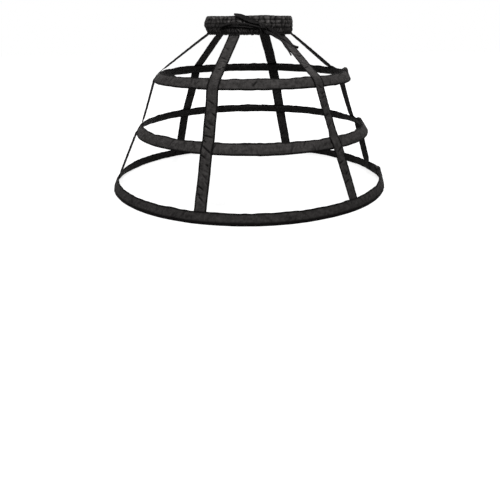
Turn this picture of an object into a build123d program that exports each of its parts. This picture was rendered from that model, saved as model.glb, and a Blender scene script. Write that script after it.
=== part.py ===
from build123d import *
from collections import namedtuple
from math import atan2, cos, degrees, hypot, radians, sin, sqrt, tan
import os

# Crinoline cage: three boned hoops hang on six tapes from a gathered waistband with a drawcord.
# Millimetres, +Z up, front towards -Y, origin at the centre of the lowest hoop, on the floor.
# Angles round the cage are in degrees from the front, growing to the right.

# Hoops, measured at the middle of the casing; each leans in at its top
bottom_radius = 350.0
middle_radius = 288.0
top_radius = 234.5
middle_height = 145.0
top_height = 269.5
middle_shift_right = 9.5
middle_shift_back = 3.0
top_shift_right = 10.5
top_shift_back = 3.5
bottom_lean_angle = 31.0
middle_lean_angle = 33.5
top_lean_angle = 38.0

# Hoop casings: a folded sleeve, thick over the bone, thin at its sewn edges, lapped where its ends meet
bottom_casing_width = 27.0
middle_casing_width = 26.0
top_casing_width = 25.0
casing_cloth = 0.8
casing_edge_thickness = 1.8
lap_length = 20.0
lap_cloth = 0.8
lap_inset = 2.0
bottom_lap_angle = 91.0
middle_lap_angle = 93.0
top_lap_angle = 99.0

# Bones: coated spring-steel strips, with a sleeve over the two ends
bone_width = 6.0
bone_thickness = 1.2
bone_end_gap = 2.0
joiner_wall = 0.5
joiner_length = 32.0
joiner_clearance = 0.15
casing_clearance = 0.2

# Tapes
tape_width = 26.0
tape_thickness = 1.0
tape_clearance = 0.3
tape_end_share = 0.7

# Angle of each tape at the waist, the top hoop, the middle hoop and the bottom hoop
tape_angles = {
    "tape_front_left": (-20.0, -20.2, -19.4, -17.8),
    "tape_front_right": (49.0, 36.5, 39.2, 43.7),
    "tape_right": (97.0, 111.5, 104.5, 103.0),
    "tape_back_right": (156.3, 165.0, 162.5, 159.0),
    "tape_back_left": (-129.5, -138.5, -137.3, -140.0),
    "tape_left": (-92.0, -86.0, -84.5, -84.5),
}

# Waistband: from the top, a fold of cloth, a channel for the elastic, a stitched row and an open hem
waist_radius = 96.0
waist_shift_right = 3.0
band_bottom = 363.0
band_cloth = 0.8
stitched_row = 3.4
hem_depth = 8.0
hem_drop = 4.4
channel_depth = 3.9
elastic_width = 25.0
elastic_thickness = 1.4
elastic_play = 1.0
elastic_clearance = 0.3

# Gathers on the outside of the waistband, drawn in along rows of stitching
gather_depth = 3.0
gather_count = 60
gather_sway_share = 0.28
gather_uneven_share = 0.22
row_draw = 1.4

# Height up the band and share of the full draw, from the lower edge to the top
gather_rows_shares = [
    (0.00, 0.35), (0.20, 1.00), (0.37, 0.10), (0.52, 0.90), (0.68, 0.00), (0.84, 1.00), (1.00, 0.50),
]

# Drawcord: a flat woven tape, tied in a bow at the front
cord_width = 6.0
cord_thickness = 1.4
cord_clearance = 0.4
tail_clearance = 0.8
corner_share = 0.45
knot_angle = 16.5
knot_width = 13.0
knot_height = 11.0
knot_depth = 6.5
knot_bevel = 2.2
end_knot_size = 7.0
end_knot_bevel = 2.0
eyelet_spread = 4.0
eyelet_clearance = 0.5

# Routes of the cord as seen from the front: to the right of the middle of the knot, and up from it
upper_loop_route = [(-7.2, 4.9), (-20.0, 9.2), (-34.0, 14.3), (-48.5, 19.4), (-63.0, 22.6)]
lower_loop_route = [
    (-7.2, -2.6), (-21.0, -1.4), (-36.0, 1.6), (-52.0, 3.0), (-68.0, 2.4), (-84.0, 0.6), (-99.0, -2.4),
]
long_tail_route = [(8.2, -1.6), (23.0, -9.6), (43.0, -21.6), (60.0, -35.0), (75.5, -45.8)]
short_tail_route = [
    (1.8, -8.0), (6.5, -12.4), (14.0, -14.8), (22.5, -18.4), (35.0, -25.8), (47.0, -32.2), (55.0, -42.6),
    (59.8, -51.4), (63.4, -60.4),
]

cut_overrun = 5.0
os.makedirs("parts", exist_ok=True)

# Worked out from the sizes above
joiner_thickness = bone_thickness + 2 * (joiner_clearance + joiner_wall)
joiner_width = bone_width + 2 * (joiner_clearance + joiner_wall)
sleeve_depth = joiner_thickness + 2 * casing_clearance
sleeve_height = joiner_width + 2 * casing_clearance
casing_thickness = sleeve_depth + 2 * casing_cloth
casing_flat = sleeve_height + 2 * casing_cloth
bottom_height = bottom_casing_width / 2 * cos(radians(bottom_lean_angle))
bottom_height += casing_edge_thickness / 2 * sin(radians(bottom_lean_angle))

channel_bottom = band_bottom + hem_depth + stitched_row
channel_height = elastic_width + 2 * elastic_play
band_top = channel_bottom + channel_height + 2 * band_cloth
band_height = band_top - band_bottom
channel_inner = waist_radius + band_cloth
channel_outer = channel_inner + channel_depth
band_valley_radius = channel_outer + band_cloth + row_draw
band_crest_radius = band_valley_radius + gather_depth
hem_radius = (channel_inner + channel_outer) / 2
hem_top = band_bottom + hem_depth - 2 * tape_clearance
below_hem = band_bottom - hem_drop
waist_middle = Vector(waist_shift_right, 0, 0)
waist_axis = Axis(waist_middle, (0, 0, 1))

lay_radius = band_crest_radius + cord_clearance
knot_up = (band_bottom + band_top) / 2 - cord_thickness
knot_right = lay_radius * sin(radians(knot_angle))
eyelet_turn = degrees(eyelet_spread / channel_outer)

Hoop = namedtuple("Hoop", "name radius height right back lean_angle width lap_angle")
hoops = [
    Hoop("top", top_radius, top_height, top_shift_right, top_shift_back, top_lean_angle,
         top_casing_width, top_lap_angle),
    Hoop("middle", middle_radius, middle_height, middle_shift_right, middle_shift_back, middle_lean_angle,
         middle_casing_width, middle_lap_angle),
    Hoop("bottom", bottom_radius, bottom_height, 0, 0, bottom_lean_angle,
         bottom_casing_width, bottom_lap_angle),
]


def keep(piece, name):
    piece.part.label = name
    export_step(piece.part, f"parts/{name}.step")


def outward(angle):
    """Level direction away from the middle at an angle round the cage."""
    return Vector(sin(radians(angle)), -cos(radians(angle)), 0)


def along(angle):
    """Level direction round the cage, growing to the right."""
    return Vector(cos(radians(angle)), sin(radians(angle)), 0)


def raised(height):
    """Level plane over the middle of the waist."""
    return Plane(waist_middle + Vector(0, 0, height))


def facing_plane(angle, radius, height):
    """Plane that faces out of the waist, local x to the right and local y up."""
    origin = waist_middle + outward(angle) * radius + Vector(0, 0, height)
    return Plane(origin, x_dir=along(angle), z_dir=outward(angle))


def hoop_plane(hoop, angle):
    """Plane across a hoop: local x stands out of the casing, local y runs up it."""
    origin = Vector(hoop.right, hoop.back, hoop.height) + outward(angle) * hoop.radius
    lean = radians(hoop.lean_angle)
    return Plane(origin, x_dir=outward(angle) * cos(lean) + Vector(0, 0, sin(lean)), z_dir=-along(angle))


def casing_outline(width, edge, middle):
    """Section of a sleeve: even over the bone, then thinner out to its sewn edges."""
    half = [
        (edge / 2, -width / 2),
        (middle / 2, -casing_flat / 2),
        (middle / 2, casing_flat / 2),
        (edge / 2, width / 2),
    ]
    with BuildLine() as outline:
        Polyline(*half, *[(-out, -up) for out, up in half], close=True)
    make_face(outline.edges())


# Hoops: a bone with a gap at its ends, a joiner over them, and a sewn casing lapped at the same place
for hoop in hoops:
    axis = Axis((hoop.right, hoop.back, hoop.height), (0, 0, 1))
    gap_turn = degrees(bone_end_gap / hoop.radius)
    joiner_turn = degrees(joiner_length / hoop.radius)
    lap_turn = degrees(lap_length / hoop.radius)

    with BuildPart() as bone:
        with BuildSketch(hoop_plane(hoop, hoop.lap_angle + gap_turn / 2)):
            Rectangle(bone_thickness, bone_width)
        revolve(axis=axis, revolution_arc=360 - gap_turn)
    keep(bone, f"hoop_bone_{hoop.name}")

    with BuildPart() as joiner:
        with BuildSketch(hoop_plane(hoop, hoop.lap_angle - joiner_turn / 2)):
            Rectangle(joiner_thickness, joiner_width)
            Rectangle(
                bone_thickness + 2 * joiner_clearance,
                bone_width + 2 * joiner_clearance,
                mode=Mode.SUBTRACT,
            )
        revolve(axis=axis, revolution_arc=joiner_turn)
    keep(joiner, f"hoop_joiner_{hoop.name}")

    with BuildPart() as casing:
        with BuildSketch(hoop_plane(hoop, hoop.lap_angle)):
            casing_outline(hoop.width, casing_edge_thickness, casing_thickness)
            Rectangle(sleeve_depth, sleeve_height, mode=Mode.SUBTRACT)
        revolve(axis=axis)
        with BuildSketch(hoop_plane(hoop, hoop.lap_angle - lap_turn / 2)):
            casing_outline(
                hoop.width - 2 * lap_inset,
                casing_edge_thickness + 2 * lap_cloth,
                casing_thickness + 2 * lap_cloth,
            )
            Rectangle(sleeve_depth + casing_cloth, sleeve_height + casing_cloth, mode=Mode.SUBTRACT)
        revolve(axis=axis, revolution_arc=lap_turn)
    keep(casing, f"hoop_casing_{hoop.name}")


def casing_depth(hoop, up_share):
    """Thickness of a casing at a share of its half width from the middle."""
    flat_share = casing_flat / hoop.width
    taper = max(0, abs(up_share) - flat_share) / (1 - flat_share)
    return casing_thickness - (casing_thickness - casing_edge_thickness) * taper


def hoop_station(hoop, angle, side, up_share):
    """Point on a tape's middle line where it lies on a casing, outside it (side 1) or inside it (side -1)."""
    hollow = tape_width * tape_width / (8 * hoop.radius)
    out = side * (casing_depth(hoop, up_share) / 2 + tape_clearance + hollow + tape_thickness / 2)
    return hoop_plane(hoop, angle).from_local_coords((out, up_share * hoop.width / 2, 0))


def tape_stations(angles):
    """Points down a tape's middle line with the angle at each: the hem, two hoops it crosses, the last hoop."""
    waist_angle, top_angle, middle_angle, bottom_angle = angles
    hem = waist_middle + outward(waist_angle) * hem_radius
    stations = [(hem + Vector(0, 0, height), waist_angle) for height in (hem_top, below_hem)]
    for hoop, angle, side, end_share in zip(
        hoops, (top_angle, middle_angle, bottom_angle), (1, 1, -1), (1, 1, tape_end_share)
    ):
        flat_share = casing_flat / hoop.width
        for up_share in (1, flat_share, -flat_share, -end_share):
            stations.append((hoop_station(hoop, angle, side, up_share), angle))
    return stations


def tape_planes(stations):
    """Planes across the tape, each halving the bend at its point."""
    points = [point for point, angle in stations]
    runs = [(after - before).normalized() for before, after in zip(points, points[1:])]
    before_runs = [runs[0]] + runs
    after_runs = runs + [runs[-1]]
    return [
        Plane(point, x_dir=along(angle), z_dir=(before + after).normalized())
        for (point, angle), before, after in zip(stations, before_runs, after_runs)
    ]


# Tapes: from the waistband's hem over the two upper hoops to the inside of the lowest
for name, angles in tape_angles.items():
    with BuildPart() as tape:
        for plane in tape_planes(tape_stations(angles)):
            with BuildSketch(plane):
                Rectangle(tape_width, tape_thickness)
        loft(ruled=True)
    keep(tape, name)


def gather_outline(drawn_share):
    """Crests and valleys round the waist, uneven as cloth drawn up on elastic is, the whole row drawn in."""
    row_scale = 1 - drawn_share * row_draw / band_crest_radius
    pitch = 360 / gather_count
    points = []
    for count in range(gather_count):
        sway = gather_sway_share * sin(count * count)
        crest = band_crest_radius - gather_depth * gather_uneven_share * sin(count) ** 2
        points.append(outward((count + sway / 2) * pitch) * crest * row_scale)
        points.append(outward((count + 1 / 2) * pitch) * band_valley_radius * row_scale)
    return points


def cut_ring(low, high):
    """Cut a ring as deep as the channel out of the waistband."""
    with BuildSketch(raised(low)) as ring:
        Circle(channel_outer)
        Circle(channel_inner, mode=Mode.SUBTRACT)
    extrude(ring.sketch, amount=high - low, mode=Mode.SUBTRACT)


# Waistband: gathered outside and smooth inside, with two eyelets for the drawcord at the front
with BuildPart() as waistband:
    for height_share, drawn_share in gather_rows_shares:
        with BuildSketch(raised(band_bottom + height_share * band_height)):
            with BuildLine():
                Polyline(*gather_outline(drawn_share), close=True)
            make_face()
    loft(ruled=True)
    with BuildSketch(raised(band_bottom)):
        Circle(waist_radius)
    extrude(amount=band_height, mode=Mode.SUBTRACT)
    cut_ring(channel_bottom, channel_bottom + channel_height)
    cut_ring(band_bottom, band_bottom + hem_depth)
    for side in (-1, 1):
        with BuildSketch(facing_plane(knot_angle + side * eyelet_turn, hem_radius, knot_up)):
            Rectangle(cord_thickness + 2 * eyelet_clearance, cord_width + 2 * eyelet_clearance)
        extrude(amount=band_crest_radius - hem_radius + cut_overrun, mode=Mode.SUBTRACT)
keep(waistband, "waistband_casing")

# Elastic against the inside of the channel
elastic_inner = channel_inner + elastic_clearance
elastic_outer = elastic_inner + elastic_thickness
with BuildPart() as elastic:
    with BuildSketch(raised(channel_bottom + elastic_play)):
        Circle(elastic_outer)
        Circle(elastic_inner, mode=Mode.SUBTRACT)
    extrude(amount=elastic_width)
keep(elastic, "waist_elastic")

# Drawcord in the channel, outside the elastic, from one eyelet round the back to the other
run_radius = elastic_outer + elastic_clearance + cord_thickness / 2
run_end_turn = eyelet_turn + degrees((cord_thickness / 2 + cord_clearance) / run_radius)
run_start = facing_plane(knot_angle + run_end_turn, run_radius, knot_up)
with BuildPart() as cord_run:
    with BuildSketch(Plane(run_start.origin, x_dir=run_start.z_dir, z_dir=-run_start.x_dir)):
        Rectangle(cord_thickness, cord_width)
    revolve(axis=waist_axis, revolution_arc=360 - 2 * run_end_turn)
keep(cord_run, "drawcord_run")

# Knot over the eyelets, with the two ends of the cord that come out of them
stub_inner = run_radius - cord_thickness / 2
with BuildPart() as knot:
    with BuildSketch(facing_plane(knot_angle, lay_radius, knot_up)):
        Rectangle(knot_width, knot_height)
    extrude(amount=knot_depth)
    chamfer(knot.edges(), length=knot_bevel)
    for side in (-1, 1):
        with BuildSketch(facing_plane(knot_angle + side * eyelet_turn, stub_inner, knot_up)):
            Rectangle(cord_thickness, cord_width)
        extrude(amount=lay_radius + cord_thickness - stub_inner)
keep(knot, "drawcord_knot")


def corner_radii(points):
    """Arc at each corner of a route, as large as the shorter of its two runs allows."""
    runs = [after - before for before, after in zip(points, points[1:])]
    radii = []
    for before, after in zip(runs, runs[1:]):
        half_turn = radians(before.get_angle(after)) / 2
        radii.append(corner_share * min(before.length, after.length) / tan(half_turn))
    return radii


# Below the band the cord turns out over its lower edge and follows the tape there
tape_edge = hoop_station(hoops[0], tape_angles["tape_front_right"][1], 1, 1) - waist_middle
tape_slope = atan2(hypot(tape_edge.X, tape_edge.Y) - hem_radius, below_hem - tape_edge.Z)
tape_bow = tape_width * tape_width / (8 * lay_radius)
cord_lift = tape_thickness / 2 + tape_bow + tail_clearance
turn_up = below_hem + cord_lift * sin(tape_slope)
turn_up -= (lay_radius - hem_radius - cord_lift * cos(tape_slope)) / tan(tape_slope)


def cord_point(right, up, thickness):
    """Middle of the cord where it lies on the band or the tape, from its place as seen from the front."""
    radius = lay_radius + thickness / 2 + max(0, turn_up - knot_up - up) * tan(tape_slope)
    across = knot_right + right
    return waist_middle + Vector(across, -sqrt(radius * radius - across * across), knot_up + up)


def cord_normal(point):
    """Way the flat of the cord faces: out of the band, and up off the tape below it."""
    share = min(1, max(0, (turn_up - point.Z) / cord_width + 1 / 2))
    level = Vector(point.X - waist_middle.X, point.Y, 0).normalized()
    return level * cos(share * tape_slope) + Vector(0, 0, sin(share * tape_slope))


def cord_planes(line):
    """Planes across the cord at the ends and the middle of each run and arc."""
    places = [0]
    for edge in line.edges():
        places += [places[-1] + edge.length / 2, places[-1] + edge.length]
    planes = []
    for place in places:
        point = line.position_at(place / places[-1])
        way = line.tangent_at(place / places[-1])
        planes.append(Plane(point, x_dir=way.cross(cord_normal(point)), z_dir=way))
    return planes


# Loops and tails of the bow: the loops are the cord folded double
cords = {
    "drawcord_loop_upper": (upper_loop_route, 2 * cord_thickness),
    "drawcord_loop_lower": (lower_loop_route, 2 * cord_thickness),
    "drawcord_tail_long": (long_tail_route, cord_thickness),
    "drawcord_tail_short": (short_tail_route, cord_thickness),
}
for name, (route, thickness) in cords.items():
    points = [cord_point(right, up, thickness) for right, up in route]
    radii = corner_radii(points)
    with BuildLine() as line:
        FilletPolyline(*points, radius=radii)
    middle_line = line.wires()[0]
    with BuildPart() as cord:
        for plane in cord_planes(middle_line):
            with BuildSketch(plane):
                Rectangle(cord_width, thickness)
        loft(ruled=True)
    keep(cord, name)
    filled = cord.part.volume / (middle_line.length * cord_width * thickness)
    print(name, "bends", [round(radius) for radius in radii], "length", round(middle_line.length),
          "fill", round(filled, 3))

# Small knot at the end of the long tail
before_end, tail_end = [cord_point(right, up, cord_thickness) for right, up in long_tail_route[-2:]]
end_way = (tail_end - before_end).normalized()
end_up = cord_normal(tail_end)
end_middle = tail_end + end_way * (end_knot_size / 2 + cord_clearance)
end_middle += end_up * ((end_knot_size - cord_thickness) / 2)
with BuildPart() as end_knot:
    with Locations(Plane(end_middle, x_dir=end_way, z_dir=end_up)):
        Box(end_knot_size, end_knot_size, end_knot_size)
    chamfer(end_knot.edges(), length=end_knot_bevel)
keep(end_knot, "drawcord_end_knot")
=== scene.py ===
from collections import namedtuple
from math import atan2, cos, hypot, pi, radians, sin, tan

import bpy
import numpy as np
from mathutils import Matrix, Vector


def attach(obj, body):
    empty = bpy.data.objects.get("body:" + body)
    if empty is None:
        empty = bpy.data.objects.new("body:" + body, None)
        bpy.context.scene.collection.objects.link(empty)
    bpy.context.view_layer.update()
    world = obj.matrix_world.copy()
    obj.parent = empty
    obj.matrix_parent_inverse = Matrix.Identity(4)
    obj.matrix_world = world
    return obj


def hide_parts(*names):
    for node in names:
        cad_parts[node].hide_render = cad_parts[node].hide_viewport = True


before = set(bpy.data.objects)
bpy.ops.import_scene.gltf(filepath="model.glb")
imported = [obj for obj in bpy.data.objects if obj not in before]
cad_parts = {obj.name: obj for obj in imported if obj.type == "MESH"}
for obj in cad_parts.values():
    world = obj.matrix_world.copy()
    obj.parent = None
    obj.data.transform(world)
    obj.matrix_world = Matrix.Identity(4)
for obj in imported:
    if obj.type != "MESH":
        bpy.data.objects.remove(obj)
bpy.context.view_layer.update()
mm = 0.001

# Crinoline cage: hoops in cloth casings on six tapes, under a gathered waistband with a drawcord bow.
# Metres, +Z up, front towards -Y. Angles round the cage are in degrees from the front, growing to the right.


# Camera

camera_place = (0.0010, -1.3445, 0.3875)
camera_pitch_down = 0.4195
camera_roll = -0.0086
camera_lens_mm = 36.645
camera_sensor_mm = 36.0

bpy.ops.object.select_all(action="DESELECT")
bpy.ops.object.camera_add(location=camera_place)
camera = bpy.context.object
camera_turn = Matrix.Rotation(pi / 2 - camera_pitch_down, 3, "X") @ Matrix.Rotation(camera_roll, 3, "Z")
camera.rotation_euler = camera_turn.to_euler()
camera.data.lens = camera_lens_mm
camera.data.sensor_width = camera_sensor_mm
bpy.context.scene.camera = camera


# Sizes shared with the solids

Hoop = namedtuple("Hoop", "name radius height right back lean width lap_angle edge_wave seed")
hoops = [
    Hoop("top", 234.5 * mm, 269.5 * mm, 10.5 * mm, 3.5 * mm, 38.0, 25.0 * mm, 99.0, 1.0 * mm, 11),
    Hoop("middle", 288.0 * mm, 145.0 * mm, 9.5 * mm, 3.0 * mm, 33.5, 26.0 * mm, 93.0, 0.8 * mm, 12),
    Hoop("bottom", 350.0 * mm, 12.035 * mm, 0.0, 0.0, 31.0, 27.0 * mm, 91.0, 0.6 * mm, 13),
]
casing_edge = 1.8 * mm
casing_middle = 4.5 * mm
casing_flat = 9.5 * mm

tape_width = 26.0 * mm
tape_thickness = 1.0 * mm
tape_clearance = 0.3 * mm
tape_end_share = 0.7

# Each tape's angle at the waistband, then at the top, middle and lowest hoops
tape_angles = {
    "tape_front_left": (-20.0, -20.5, -19.6, -17.8),
    "tape_front_right": (49.0, 36.5, 39.2, 43.7),
    "tape_right": (97.0, 111.5, 104.5, 103.0),
    "tape_back_right": (156.3, 165.0, 162.5, 159.0),
    "tape_back_left": (-131.5, -139.2, -137.3, -140.0),
    "tape_left": (-92.0, -86.0, -84.5, -84.5),
}

waist_right = 3.0 * mm
waist_radius = 96.0 * mm
band_bottom = 363.0 * mm
band_top = 403.0 * mm
hem_radius = 98.75 * mm
hem_top = 370.4 * mm
below_hem = 358.6 * mm
band_crest = 105.9 * mm

cord_width = 6.0 * mm
cord_thickness = 1.4 * mm
cord_clearance = 0.4 * mm
tail_clearance = 0.8 * mm
lay_radius = band_crest + cord_clearance
knot_angle = 16.5
knot_up = (band_bottom + band_top) / 2 - cord_thickness
knot_right = lay_radius * sin(radians(knot_angle))

upwards = np.array([0.0, 0.0, 1.0])
waist_middle = np.array([waist_right, 0.0, 0.0])


# Shapes

def outward(angle):
    turn = np.radians(angle)
    return np.stack([np.sin(turn), -np.cos(turn), 0 * turn], axis=-1)


def around(angle):
    turn = np.radians(angle)
    return np.stack([np.cos(turn), np.sin(turn), 0 * turn], axis=-1)


def unit(rows):
    return rows / np.linalg.norm(rows, axis=-1, keepdims=True)


def blend(low, high, value):
    """0 below low, 1 above high, and an even curve between."""
    share = np.clip((value - low) / (high - low), 0, 1)
    return share * share * (3 - 2 * share)


def waver(turns, seed, fewest, most, count, fade=0.5):
    """Uneven waves that close round a ring, about 1 high, the same each time."""
    draw = np.random.RandomState(seed)
    total = 0 * turns
    power = 0
    for cycles in np.unique(np.geomspace(fewest, most, count).astype(int)):
        size = (fewest / cycles) ** fade
        total = total + size * np.sin(2 * pi * (cycles * turns + draw.rand()))
        power += size * size
    return total / power ** 0.5


def near_angles(angle, places):
    """Sum of soft bumps at places round the cage."""
    total = 0.0 * angle
    for middle, spread, height in places:
        apart = (angle - middle + 180) % 360 - 180
        total = total + height * np.exp(-(apart / spread) ** 2)
    return total


crease_width = 1.7 * mm
crease_ridge_share = 0.6
merge_distance = 0.01 * mm


def crease(along, across, ends, depth):
    """A fold pressed into the cloth between two places, with a low ridge beside it."""
    (first_along, first_across), (last_along, last_across) = ends
    reach = hypot(last_along - first_along, last_across - first_across) / 2
    down = (last_along - first_along) / (2 * reach)
    right = (last_across - first_across) / (2 * reach)
    from_middle = along - (first_along + last_along) / 2, across - (first_across + last_across) / 2
    run = from_middle[0] * down + from_middle[1] * right
    over = from_middle[0] * right - from_middle[1] * down
    fade = np.exp(-(run / reach) ** 4)
    ridge = crease_ridge_share * np.exp(-((over - 2.2 * crease_width) / (1.3 * crease_width)) ** 2)
    return depth * fade * (ridge - np.exp(-(over / crease_width) ** 2))


def measure_along(line):
    steps = np.linalg.norm(np.diff(line, axis=0), axis=1)
    return np.concatenate([[0], np.cumsum(steps)])


def at_share(values, share):
    """Rows of values at a share from the first to the last."""
    spot = np.linspace(0, 1, len(values))
    return np.stack([np.interp(share, spot, values[:, k]) for k in range(3)], axis=-1)


def pick(piece):
    """Make this the one piece that is selected."""
    bpy.ops.object.select_all(action="DESELECT")
    piece.select_set(True)
    bpy.context.view_layer.objects.active = piece


def in_edit_mode(piece, *steps):
    pick(piece)
    bpy.ops.object.mode_set(mode="EDIT")
    bpy.ops.mesh.select_all(action="SELECT")
    for step in steps:
        step()
    bpy.ops.object.mode_set(mode="OBJECT")


def merge_close():
    bpy.ops.mesh.remove_doubles(threshold=merge_distance)


def face_outwards():
    bpy.ops.mesh.normals_make_consistent(inside=False)


def read_map(layer):
    corners = np.empty(2 * len(layer.uv))
    layer.uv.foreach_get("vector", corners)
    return corners.reshape(-1, 2)


def write_map(layer, corners):
    layer.uv.foreach_set("vector", corners.ravel())


def cloth_grid(name, columns, rows, place, length, width, spacing=None):
    """A flat grid laid where place puts it; its cloth map is in millimetres along and across."""
    bpy.ops.object.select_all(action="DESELECT")
    bpy.ops.mesh.primitive_grid_add(x_subdivisions=columns, y_subdivisions=rows, size=1)
    piece = bpy.context.object
    piece.name = name
    mesh = piece.data
    mesh.name = name
    spots = np.empty(3 * len(mesh.vertices))
    mesh.vertices.foreach_get("co", spots)
    share = spots.reshape(-1, 3) + 0.5
    mesh.vertices.foreach_set("co", place(share[:, 0], share[:, 1]).ravel())
    layer = mesh.uv_layers[0]
    layer.name = "cloth"
    corners = read_map(layer)
    if spacing:
        corners[:, 1] = spacing(corners[:, 1])
    write_map(layer, corners * (length / mm, width / mm))
    mesh.update()
    in_edit_mode(piece, merge_close)
    return piece


def map_fold_shade(piece, unshaded_share):
    """A second map, of how much painted shade the cloth gets at each place of its cloth map: 1 none where it
    stands full, 0 darkest deep in a fold.
    """
    along, across = read_map(piece.data.uv_layers["cloth"]).T
    full = np.clip(unshaded_share(along, across), 0, 1)
    write_map(piece.data.uv_layers.new(name="folds"), np.stack([full, full], axis=1))


def thicken(piece, thickness, offset):
    pick(piece)
    bpy.ops.object.modifier_add(type="SOLIDIFY")
    wall = piece.modifiers[-1]
    wall.thickness = thickness
    wall.offset = offset
    wall.use_rim = True
    bpy.ops.object.modifier_apply(modifier=wall.name)


def give_material(piece, material):
    piece.data.materials.clear()
    piece.data.materials.append(material)


def finish_piece(piece, material, slot, *nodes):
    """Smooth shading, its material, and its place in the part."""
    pick(piece)
    bpy.ops.object.shade_smooth()
    give_material(piece, material)
    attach(piece, "root")
    if nodes:
        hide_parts(*nodes)


# Materials

# The colour that painted shade goes towards, in folds and along edges.
painted_shade_black = (0.004, 0.0036, 0.0036)
darkest_share = 0.97
cloth_roughness = 0.6
cloth_specular = 0.02
thread_specular = 0.08


def new_material(name):
    material = bpy.data.materials.new(name)
    material.use_nodes = True
    tree = material.node_tree
    tree.nodes.clear()
    output = tree.nodes.new("ShaderNodeOutputMaterial")
    shader = tree.nodes.new("ShaderNodeBsdfPrincipled")
    tree.links.new(shader.outputs["BSDF"], output.inputs["Surface"])
    return material, tree, shader


def maths(tree, operation, *values):
    node = tree.nodes.new("ShaderNodeMath")
    node.operation = operation
    for socket, value in zip(node.inputs, values):
        if isinstance(value, (int, float)):
            socket.default_value = value
        else:
            tree.links.new(value, socket)
    return node.outputs[0]


def noise(tree, vector, scale, detail, roughness=0.5):
    node = tree.nodes.new("ShaderNodeTexNoise")
    node.inputs["Scale"].default_value = scale
    node.inputs["Detail"].default_value = detail
    node.inputs["Roughness"].default_value = roughness
    tree.links.new(vector, node.inputs["Vector"])
    return node.outputs["Fac"]


def stretched(tree, vector, along, across):
    node = tree.nodes.new("ShaderNodeMapping")
    node.inputs["Scale"].default_value = (along, across, 1)
    tree.links.new(vector, node.inputs["Vector"])
    return node.outputs["Vector"]


def mapped(tree, name):
    """The place on one of the piece's own maps, whole and as its two parts."""
    node = tree.nodes.new("ShaderNodeUVMap")
    node.uv_map = name
    parts = tree.nodes.new("ShaderNodeSeparateXYZ")
    tree.links.new(node.outputs["UV"], parts.inputs["Vector"])
    return node.outputs["UV"], parts.outputs["X"], parts.outputs["Y"]


def two_tones(tree, factor, low, high, dark, light):
    ramp = tree.nodes.new("ShaderNodeValToRGB")
    ramp.color_ramp.elements[0].position = low
    ramp.color_ramp.elements[0].color = (*dark, 1)
    ramp.color_ramp.elements[1].position = high
    ramp.color_ramp.elements[1].color = (*light, 1)
    tree.links.new(factor, ramp.inputs["Fac"])
    return ramp.outputs["Color"]


def darkened(tree, factor, colour, dark):
    """The colour, going to the dark one as the factor goes to 1."""
    mix = tree.nodes.new("ShaderNodeMix")
    mix.data_type = "RGBA"
    tree.links.new(factor, mix.inputs["Factor"])
    tree.links.new(colour, mix.inputs["A"])
    mix.inputs["B"].default_value = (*dark, 1)
    return mix.outputs["Result"]


def cloth_material(name, dark, light, thread, weave_height, edges, folded=True):
    """Woven cloth on the piece's own maps: crossing threads, cloudy tone, painted shade along its edges and,
    when folded, painted shade in its folds.

    Each edge is its place across the cloth and how far in from it shade is painted, in mm.
    """
    material, tree, shader = new_material(name)
    place, along, across = mapped(tree, "cloth")
    warp = maths(tree, "SINE", maths(tree, "MULTIPLY", along, 2 * pi / thread))
    weft = maths(tree, "SINE", maths(tree, "MULTIPLY", across, 2 * pi / thread))
    weave = maths(tree, "MULTIPLY", warp, weft)
    clouds = noise(tree, stretched(tree, place, 0.085, 0.10), 1.0, 4.0, 0.6)
    streaks = noise(tree, stretched(tree, place, 0.50, 0.10), 1.0, 3.0, 0.55)
    tone = maths(tree, "MULTIPLY_ADD", streaks, 0.35, maths(tree, "MULTIPLY", clouds, 0.65))
    tone = maths(tree, "MULTIPLY_ADD", weave, 0.05, tone)
    colour = two_tones(tree, tone, 0.37, 0.63, dark, light)
    # Painted shade in the folds: the colour goes towards black where the folds map is low.
    if folded:
        _, unshaded_share, _ = mapped(tree, "folds")
        deep = maths(tree, "SUBTRACT", 1, maths(tree, "POWER", unshaded_share, 1.4))
        colour = darkened(tree, maths(tree, "MULTIPLY", deep, darkest_share), colour, painted_shade_black)
    # Painted shade along the edges, where the cloth curves away from the light; hem holds how strong it is.
    hem = 0.0
    for edge, border in edges:
        apart = maths(tree, "ABSOLUTE", maths(tree, "SUBTRACT", across, edge))
        close = maths(tree, "SUBTRACT", 1, maths(tree, "MINIMUM", maths(tree, "DIVIDE", apart, border), 1))
        hem = maths(tree, "MAXIMUM", hem, close)
    hem = maths(tree, "MINIMUM", maths(tree, "MULTIPLY", hem, 2.2), darkest_share)
    colour = darkened(tree, hem, colour, painted_shade_black)
    tree.links.new(colour, shader.inputs["Base Color"])
    tree.links.new(maths(tree, "MULTIPLY_ADD", streaks, 0.2, cloth_roughness), shader.inputs["Roughness"])
    bump = tree.nodes.new("ShaderNodeBump")
    bump.inputs["Strength"].default_value = 0.7
    bump.inputs["Distance"].default_value = weave_height
    tree.links.new(maths(tree, "MULTIPLY_ADD", streaks, 4.0, weave), bump.inputs["Height"])
    tree.links.new(bump.outputs["Normal"], shader.inputs["Normal"])
    shader.inputs["Specular IOR Level"].default_value = cloth_specular
    return material


def thread_material():
    """Sewing thread with a fine twist."""
    material, tree, shader = new_material("black_thread")
    where = tree.nodes.new("ShaderNodeTexCoord")
    twist = noise(tree, where.outputs["Object"], 900.0, 2.0)
    colour = two_tones(tree, twist, 0.3, 0.7, (0.006, 0.0055, 0.0055), (0.028, 0.026, 0.026))
    tree.links.new(colour, shader.inputs["Base Color"])
    tree.links.new(maths(tree, "MULTIPLY_ADD", twist, 0.3, 0.35), shader.inputs["Roughness"])
    shader.inputs["Specular IOR Level"].default_value = thread_specular
    return material


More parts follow.
